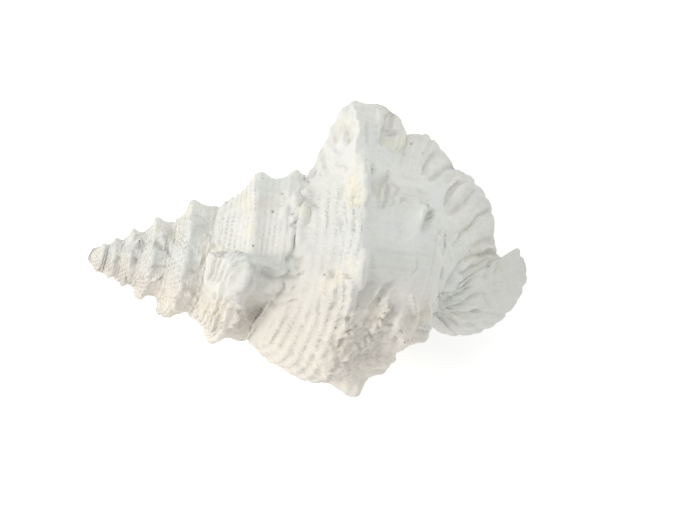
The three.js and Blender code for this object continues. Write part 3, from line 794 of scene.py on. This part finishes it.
def lip():
    table = np.column_stack([np.arange(len(RAYS)), RAYS])
    at = np.linspace(0, len(RAYS) - 1, (len(RAYS) - 1) * LIP_STEPS + 1)
    x, y, z, turns, c, sunk, slope = curve(table, at)[:, 1:].T
    fold = lip_folds(at)
    rim = in_view(x, y, z)
    root = on_shell(turns, c)
    out = (rim - root) * np.array([1, 1, 0])
    reach = np.linalg.norm(out, axis=1)
    out /= reach[:, None]
    lean = lip_lean(turns, c, out)
    root[:, 2] -= sunk
    scallop = 0.8 * np.sin(at * 6.1) * smooth(0, 0.6, at) * (1 - smooth(3.4, 4, at))
    rim = rim + out * (np.clip(fold, -1, 1) * 0.5 + scallop)[:, None]

    # Each ray is a cubic curve from root to rim
    t = np.linspace(0, 1, LIP_ROWS + 1)[None, :]
    top = root[:, None] + (rim - root)[:, None] * t[..., None]
    t2 = t * t
    t3 = t2 * t
    top[..., 2] = (2 * t3 - 3 * t2 + 1) * root[:, None, 2] + (3 * t2 - 2 * t3) * rim[:, None, 2]
    top[..., 2] += ((t3 - 2 * t2 + t) * lean[:, None] + (t3 - t2) * slope[:, None]) * reach[:, None]
    fan = (at > FAN_START)[:, None]
    on_fan = smooth(0.02, 0.25, t) * (1 - 0.85 * smooth(0.5, 0.8, t))
    crease = np.where(fan, FAN_DEPTH, LIP_DEPTH) * fold[:, None]
    crease = crease * np.where(fan, on_fan, smooth(0.1, 0.6, t))
    canal_edge = bell((at - 15.6) / 1.3)[:, None]
    thick = mix(LIP_ROOT, LIP_EDGE + 5 * canal_edge, smooth(0, 0.85, t))
    under = top.copy()
    under[..., 2] += crease * 0.7 - thick
    top[..., 2] += crease
    grain = 0.6 * noise(top, 7.0, 21) + 0.4 * noise(top, 3.0, 22) + 0.25 * noise(top, 1.6, 23)
    top[..., 2] += grain * smooth(0.05, 0.3, t)

    rings = np.concatenate([top, under[:, ::-4]], 1)
    marks = {name: np.zeros(rings.shape[:2]) for name in MARKS}
    upper = slice(0, LIP_ROWS + 1)
    left = (1 - smooth(3, 4.2, at))[:, None] * smooth(0, 0.3, t)
    crumbly = smooth(13.5, 16, at)[:, None] * (1 - smooth(0.2, 0.5, t))
    marks["cord"][:] = CORDS * c[:, None]
    marks["along"][:, upper] = np.interp(turns, TRACK_TURNS, TRACK)[:, None] - t * reach[:, None]
    marks["rough"][:, upper] = 0.22 + 0.3 * left + 0.55 * crumbly
    marks["relief"][:, upper] = crease * 0.8 + grain
    marks["grown"][:, upper] = 1
    marks["skin"][:, upper] = 1
    return tube(list(rings), list(np.stack(list(marks.values()), -1)))


def hollow():
    """The inside of the last whorl, from the mouth back, narrower towards its end."""
    rings = []
    across = 60
    for u in np.linspace(0, 1, 70):
        turn = mix(-0.11, 0.62, u)
        size = 1 - 0.75 * smooth(0.35, 1, u)
        mouth = smooth(-0.02, -0.1, turn)
        c = np.linspace(0.12, 2.95, across)
        t = np.full(across, turn)
        row = 0.5 + 0.5 * np.cos(np.pi * 15 * np.linspace(0, 1, across))
        teeth = bell((turn - 0.01) / 0.03) * row
        wall = (WALL - 2.5 * mouth + 1.4 * teeth)[:, None]
        outer = section(t, c) - normal(t, c) * wall
        c = np.linspace(2.92, 2.05, across)
        inner = section(t + 1, c) + normal(t + 1, c) * CALLUS
        ring = np.vstack([outer, inner])
        ring = mix(ring.mean(0), ring, size)
        rings.append(place(ring[:, 0], np.maximum(0.5, ring[:, 1]), np.full(len(ring), turn)))
    return tube(rings, [PLAIN] * len(rings))


def canal():
    """The groove of the canal, as a round rod to cut away."""
    rings = []
    table = np.column_stack([np.arange(len(CANAL)), CANAL])
    for x, y, z, radius in curve(table, np.linspace(0, len(CANAL) - 1, 24))[:, 1:]:
        a = np.linspace(0, 2 * np.pi, 28, endpoint=False)
        middle = in_view(x, y, z)
        rings.append(middle + np.stack([a * 0, np.cos(a) * radius, np.sin(a) * radius], -1))
    return tube(rings, [PLAIN] * len(rings))


def rest(points):
    return (points @ REST.T + REST_SHIFT) * MM


def read(items, name, width, kind=np.float64):
    values = np.empty(len(items) * width, kind)
    items.foreach_get(name, values)
    return values.reshape(-1, width) if width > 1 else values


def read_mark(mesh, label):
    return read(mesh.attributes[label].data, "value", 1)


def write_mark(mesh, label, values):
    layer = mesh.attributes.get(label) or mesh.attributes.new(label, "FLOAT", "POINT")
    layer.data.foreach_set("value", values.astype(np.float32))


def new_object(name, data):
    obj = bpy.data.objects.new(name, data)
    bpy.context.scene.collection.objects.link(obj)
    return obj


def make(name, skin):
    """A mesh object from a skin, with its faces turned outwards."""
    points = rest(np.vstack(skin.points))
    tris = np.vstack(skin.faces)
    a, b, c = points[tris[:, 0]], points[tris[:, 1]], points[tris[:, 2]]
    if np.sum(np.cross(a, b) * c) < 0:
        tris = tris[:, ::-1]
    mesh = bpy.data.meshes.new(name)
    mesh.vertices.add(len(points))
    mesh.vertices.foreach_set("co", points.ravel().astype(np.float32))
    mesh.loops.add(tris.size)
    mesh.loops.foreach_set("vertex_index", tris.ravel().astype(np.int32))
    mesh.polygons.add(len(tris))
    mesh.polygons.foreach_set("loop_start", np.arange(0, tris.size, 3, dtype=np.int32))
    mesh.update(calc_edges=True)
    marks = np.vstack(skin.marks)
    for label, values in zip(MARKS, marks.T):
        write_mark(mesh, label, values)
    source = mesh.attributes.new("source", "FLOAT", "FACE")
    source.data.foreach_set("value", np.full(len(tris), name == "lip", np.float32))
    return new_object(name, mesh)


def put_together():
    """The coil with its lip, hollow and canal, as one mesh."""
    shell = make("sea_snail_shell", coil())
    tools = (("lip", lip(), "UNION"), ("hollow", hollow(), "DIFFERENCE"), ("canal", canal(), "DIFFERENCE"))
    for label, skin, kind in tools:
        tool = make(label, skin)
        cut = shell.modifiers.new(label, "BOOLEAN")
        cut.operation = kind
        cut.solver = "MANIFOLD"
        cut.object = tool
        made = bpy.data.meshes.new_from_object(shell.evaluated_get(bpy.context.evaluated_depsgraph_get()))
        shell.modifiers.clear()
        shell.data = made
        bpy.data.objects.remove(tool)
    return shell


def soften(points, edges, weight, rounds):
    """Moves points towards the mean of their neighbours where the weight is above 0."""
    keep = (weight[edges[:, 0]] > 0.01) | (weight[edges[:, 1]] > 0.01)
    a, b = edges[keep].T
    count = np.bincount(a, minlength=len(points)) + np.bincount(b, minlength=len(points))
    for _ in range(rounds):
        for q in range(3):
            v = points[:, q]
            total = np.bincount(a, v[b], len(points)) + np.bincount(b, v[a], len(points))
            mean = np.where(count > 0, total / np.maximum(count, 1), v)
            points[:, q] = mix(v, mean, 0.6 * weight)
    return points


def seen(points):
    """Where points stand in the view of the back, first with a small wander, then exactly."""
    v = (points / MM - REST_SHIFT) @ REST
    scale = DISTANCE / (DISTANCE - v[:, 2] * MM)
    x = CENTRE_X + (v[:, 0] / VIEW_UNIT + VIEW_X - CENTRE_X) * scale
    y = CENTRE_Y + (VIEW_Y - v[:, 1] / VIEW_UNIT - CENTRE_Y) * scale
    at = np.stack([x + WANDER * noise(v, 4.0, 71), y + WANDER * noise(v, 4.0, 73)], -1)
    return at, np.stack([x, y], -1)


def along_path(at, wide, path, height):
    """Adds a ridge of height 1 along a path, thinner towards its ends."""
    path = np.array(path, float)
    wide = wide / VIEW_UNIT
    reach = 2.5 * wide
    close = np.flatnonzero(np.all((at > path.min(0) - reach) & (at < path.max(0) + reach), 1))
    gap = np.full(len(close), np.inf)
    done = np.zeros(len(close))
    for k, (a, b) in enumerate(zip(path, path[1:])):
        t = np.clip((at[close] - a) @ (b - a) / ((b - a) @ (b - a)), 0, 1)
        d = np.linalg.norm(at[close] - a - t[:, None] * (b - a), axis=1)
        done = np.where(d < gap, (k + t) / (len(path) - 1), done)
        gap = np.minimum(gap, d)
    thin = 1 - 0.4 * (2 * done - 1) ** 4
    height[close] += thin * bell(gap / wide / thin)
    return height


def sculpt(at):
    """Height in millimetres of the forms seen from the back."""
    height = np.zeros(len(at))
    for wide, high, path in FORMS:
        height += high * along_path(at, wide, path, np.zeros(len(at)))
    return height


def soften_seam(mesh):
    """Rounds the seam between the lip and the coil, fades the marks beside it, and returns the points."""
    points = read(mesh.vertices, "co", 3)
    edges = read(mesh.edges, "vertices", 2, np.int32)
    corners = read(mesh.loops, "vertex_index", 1, np.int32)
    sides = read(mesh.polygons, "loop_total", 1, np.int32)
    of_lip = np.repeat(read_mark(mesh, "source") > 0.5, sides)
    touched = np.zeros((2, len(points)), bool)
    touched[0, corners[of_lip]] = True
    touched[1, corners[~of_lip]] = True
    seam = np.flatnonzero(touched.all(0))
    tree = KDTree(len(seam))
    for k in seam:
        tree.insert(points[k], int(k))
    tree.balance()
    gap = np.array([tree.find(p)[2] for p in points])
    weight = bell(gap / (SEAM_SOFT * MM)) * (gap < SEAM_REACH * MM)
    points = soften(points, edges, weight, SEAM_ROUNDS)
    for label in ("corded", "rough", "relief", "grown"):
        write_mark(mesh, label, read_mark(mesh, label) * smooth(0.5, 4, gap / MM))
    mesh.vertices.foreach_set("co", points.ravel())
    mesh.update()
    return points


def carve_back(mesh, points):
    """Carves the forms seen from the back along the normals, and marks stains and pinholes."""
    normals = read(mesh.vertices, "normal", 3)
    at, exact = seen(points)
    facing = smooth(-0.05, 0.2, (normals @ REST)[:, 2]) * read_mark(mesh, "skin")
    carved = sculpt(at) * facing
    stain = np.zeros(len(points))
    for wide, path in STAINS:
        stain = along_path(at, wide, path, stain)
    hole = np.zeros(len(points))
    for spot in PINHOLES:
        hole = np.maximum(hole, bell(np.linalg.norm(exact - spot, axis=1) / PINHOLE) * facing)
    carved -= hole
    write_mark(mesh, "hole", hole)
    write_mark(mesh, "stain", np.minimum(1, stain * facing))
    # The relief mark also sets how dark the painted shade in the hollows is
    write_mark(mesh, "relief", read_mark(mesh, "relief") + 0.5 * carved)
    points += normals * carved[:, None] * MM

    # Nothing goes through the table
    points[:, 2] = np.maximum(points[:, 2], 0)
    mesh.vertices.foreach_set("co", points.ravel())
    mesh.polygons.foreach_set("use_smooth", np.ones(len(mesh.polygons), bool))
    mesh.update()


# Chalky white

CREAM_WHITE = (0.745, 0.745, 0.7)
COOL_WHITE = (0.715, 0.735, 0.705)
# Partly the shell's own cream, partly painted warm light on the lower side
WARM_LIGHT_AND_TINT = (0.75, 0.705, 0.635)
# Painted shade for the hollows, in a dusty tint
HOLLOW_SHADE = (0.58, 0.545, 0.475)
CREAM = (0.79, 0.75, 0.64)
SPECK = (0.6, 0.57, 0.5)
STAIN = (0.76, 0.74, 0.58)
PIT = (0.24, 0.19, 0.12)


class Painter:
    """Short ways to write shader nodes."""

    def __init__(self, material):
        material.use_nodes = True
        self.nodes = material.node_tree.nodes
        self.links = material.node_tree.links
        self.shader = self.nodes["Principled BSDF"]

    def put(self, socket, value):
        if isinstance(value, bpy.types.NodeSocket):
            self.links.new(value, socket)
        else:
            socket.default_value = value

    def node(self, kind, inputs):
        node = self.nodes.new("ShaderNode" + kind)
        for name, value in inputs.items():
            self.put(node.inputs[name], value)
        return node

    def math(self, operation, *values):
        node = self.node("Math", dict(enumerate(values)))
        node.operation = operation
        return node.outputs[0]

    def add(self, *values):
        total = values[0]
        for value in values[1:]:
            total = self.math("ADD", total, value)
        return total

    def times(self, a, b):
        return self.math("MULTIPLY", a, b)

    def ramp(self, value, low, high, a=0.0, b=1.0):
        ends = {"Value": value, "From Min": low, "From Max": high, "To Min": a, "To Max": b}
        node = self.node("MapRange", ends)
        node.interpolation_type = "SMOOTHSTEP"
        return node.outputs["Result"]

    def mark(self, name):
        node = self.node("Attribute", {})
        node.attribute_name = name
        return node.outputs["Fac"]

    def vector(self, x, y, z):
        return self.node("CombineXYZ", {"X": x, "Y": y, "Z": z}).outputs[0]

    def noise(self, where, size, detail=2.0, rough=0.5):
        """Noise from 0 to 1 whose grains are about size metres wide."""
        inputs = {"Vector": where, "Scale": 1 / size, "Detail": detail, "Roughness": rough}
        return self.node("TexNoise", inputs).outputs["Fac"]

    def cells(self, where, size):
        node = self.node("TexVoronoi", {"Vector": where, "Scale": 1 / size})
        return node.outputs["Distance"], node.outputs["Color"]

    def first(self, color):
        return self.node("SeparateColor", {0: color}).outputs[0]

    def mix(self, factor, a, b):
        node = self.node("Mix", {"Factor": factor})
        node.data_type = "RGBA"
        for k, value in ((6, a), (7, b)):
            self.put(node.inputs[k], value if isinstance(value, bpy.types.NodeSocket) else (*value, 1))
        return node.outputs[2]


def shell_material():
    material = bpy.data.materials.new("chalky_shell")
    p = Painter(material)
    where = p.node("TexCoord", {}).outputs["Object"]
    cord, along, corded, rough, relief, grown = (p.mark(name) for name in MARKS[:6])

    # Beads on the cords
    crest = p.ramp(p.math("COSINE", p.times(cord, 2 * math.pi)), -0.5, 1.0)
    line = p.math("ROUND", cord)
    wander = p.times(p.noise(where, 0.006, 2.0), 12.0)
    step = p.math("COSINE", p.add(p.times(along, 2 * math.pi / BEAD), p.times(line, 2.1), wander))
    patchy = p.ramp(p.noise(where, 0.008, 2.0), 0.38, 0.62, 0.25, 1.0)
    beads = p.times(p.times(crest, p.ramp(step, -1.3, 1.0)), p.times(p.ramp(corded, 0, 0.9), patchy))

    # Grains, growth lines and worn grain of the surface
    near, _ = p.cells(where, 0.0031)
    grain = p.times(p.ramp(near, 0.75, 0.0), p.add(0.12, p.times(rough, 0.6)))
    fine, _ = p.cells(where, 0.0014)
    fine = p.times(p.ramp(fine, 0.8, 0.0), p.add(0.1, p.times(rough, 0.6), p.times(corded, 0.3)))
    lines = p.noise(p.vector(p.times(along, 0.8), p.times(cord, 0.12), 0.0), 1.0, 3.0, 0.6)
    soft = p.noise(where, 0.005, 3.0, 0.55)
    chalk = p.noise(where, 0.0011, 3.0, 0.6)
    pit_near, pit_tint = p.cells(where, 0.0048)
    chosen = p.math("GREATER_THAN", p.first(pit_tint), 0.93)
    pit = p.times(p.ramp(pit_near, 0.1, 0.055), chosen)
    height = p.add(
        p.times(beads, 0.44),
        p.times(grain, 0.42),
        p.times(fine, 0.15),
        p.times(p.times(lines, grown), 0.32),
        p.times(soft, 0.9),
        p.times(chalk, 0.14),
        p.times(pit, -0.4),
    )
    bump = p.node("Bump", {"Strength": 1.0, "Distance": MM, "Height": height})
    p.links.new(bump.outputs["Normal"], p.shader.inputs["Normal"])

    # White that goes from cream to a cool grey, with painted shade in a dusty tint darkening the hollows
    tone = p.ramp(p.noise(where, 0.03, 2.0), 0.35, 0.65)
    color = p.mix(tone, CREAM_WHITE, COOL_WHITE)
    # Painted warm light, mixed with the shell's own cream, on the front and lower side of each whorl
    color = p.mix(p.times(p.mark("warm_light_and_tint"), 0.8), color, WARM_LIGHT_AND_TINT)
    # Painted shade: the lower the relief, the darker the colour
    low = p.ramp(relief, 0.2, -1.4, 0.0, 0.33)
    color = p.mix(low, color, HOLLOW_SHADE)
    cream = p.times(p.ramp(p.noise(where, 0.012, 3.0), 0.52, 0.72), p.add(0.25, p.times(corded, 0.6)))
    color = p.mix(cream, color, CREAM)
    speck = p.ramp(p.noise(where, 0.0023, 2.0), 0.60, 0.72, 0.0, 0.3)
    color = p.mix(speck, color, SPECK)
    color = p.mix(p.times(p.mark("stain"), 0.5), color, STAIN)
    deep = p.ramp(p.add(pit, p.mark("hole")), 0.3, 1.0, 0.0, 0.75)
    color = p.mix(deep, color, PIT)
    p.put(p.shader.inputs["Base Color"], color)
    p.put(p.shader.inputs["Roughness"], p.ramp(soft, 0.3, 0.7, 0.72, 0.88))
    p.shader.inputs["Specular IOR Level"].default_value = 0.25
    return material


shell = put_together()
carve_back(shell.data, soften_seam(shell.data))
shell.data.materials.clear()
shell.data.materials.append(shell_material())
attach(shell, "root")
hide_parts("shell")

# Floor, light and camera

FLOOR = 3
PALE_FLOOR = {
    "Base Color": (0.93, 0.93, 0.93, 1),
    "Roughness": 0.9,
    "Specular IOR Level": 0.2,
    "Emission Color": (1, 1, 1, 1),
    "Emission Strength": 0.32,
}
STUDIO = {"Color": (1, 1, 1, 1), "Strength": 0.73}
SENSOR = 36

mesh = bpy.data.meshes.new("floor")
corners = [(x * FLOOR, y * FLOOR, 0) for x, y in ((-1, -1), (1, -1), (1, 1), (-1, 1))]
mesh.from_pydata(corners, [], [(0, 1, 2, 3)])
floor = new_object("floor", mesh)
paint = bpy.data.materials.new("pale_floor")
paint.use_nodes = True
for name, value in PALE_FLOOR.items():
    paint.node_tree.nodes["Principled BSDF"].inputs[name].default_value = value
mesh.materials.append(paint)

world = bpy.data.worlds.new("studio")
world.use_nodes = True
for name, value in STUDIO.items():
    world.node_tree.nodes["Background"].inputs[name].default_value = value
bpy.context.scene.world = world


def turned(v):
    """A direction of the view of the back, in the shared frame."""
    return Vector(REST @ v)


def area(name, direction, distance, size, power, color):
    light = bpy.data.lights.new(name, "AREA")
    light.shape = "DISK"
    light.size = size
    light.energy = power
    light.color = color
    obj = new_object(name, light)
    d = turned(direction).normalized()
    obj.location = d * distance
    obj.rotation_euler = (-d).to_track_quat("-Z", "Y").to_euler()


area("key", direction=(-0.8, -0.06, 0.6), distance=1.2, size=0.5, power=5.7, color=(1.05, 0.985, 0.925))
area("fill", direction=(0.25, 0.65, 0.7), distance=1.4, size=0.9, power=2.6, color=(0.96, 1.0, 1.02))

camera = bpy.data.cameras.new("camera")
camera.sensor_width = SENSOR
camera.lens = SENSOR * DISTANCE / (PICTURE * VIEW_UNIT * MM)
camera.clip_end = 20
eye = new_object("camera", camera)
aim = rest(in_view(CENTRE_X, CENTRE_Y, 0))
side, up, back = (turned(axis) for axis in np.eye(3))
pose = Matrix((side, up, back)).transposed().to_4x4()
pose.translation = Vector(aim) + back * DISTANCE
eye.matrix_world = pose
bpy.context.scene.camera = eye
bpy.context.scene.view_settings.view_transform = "Standard"
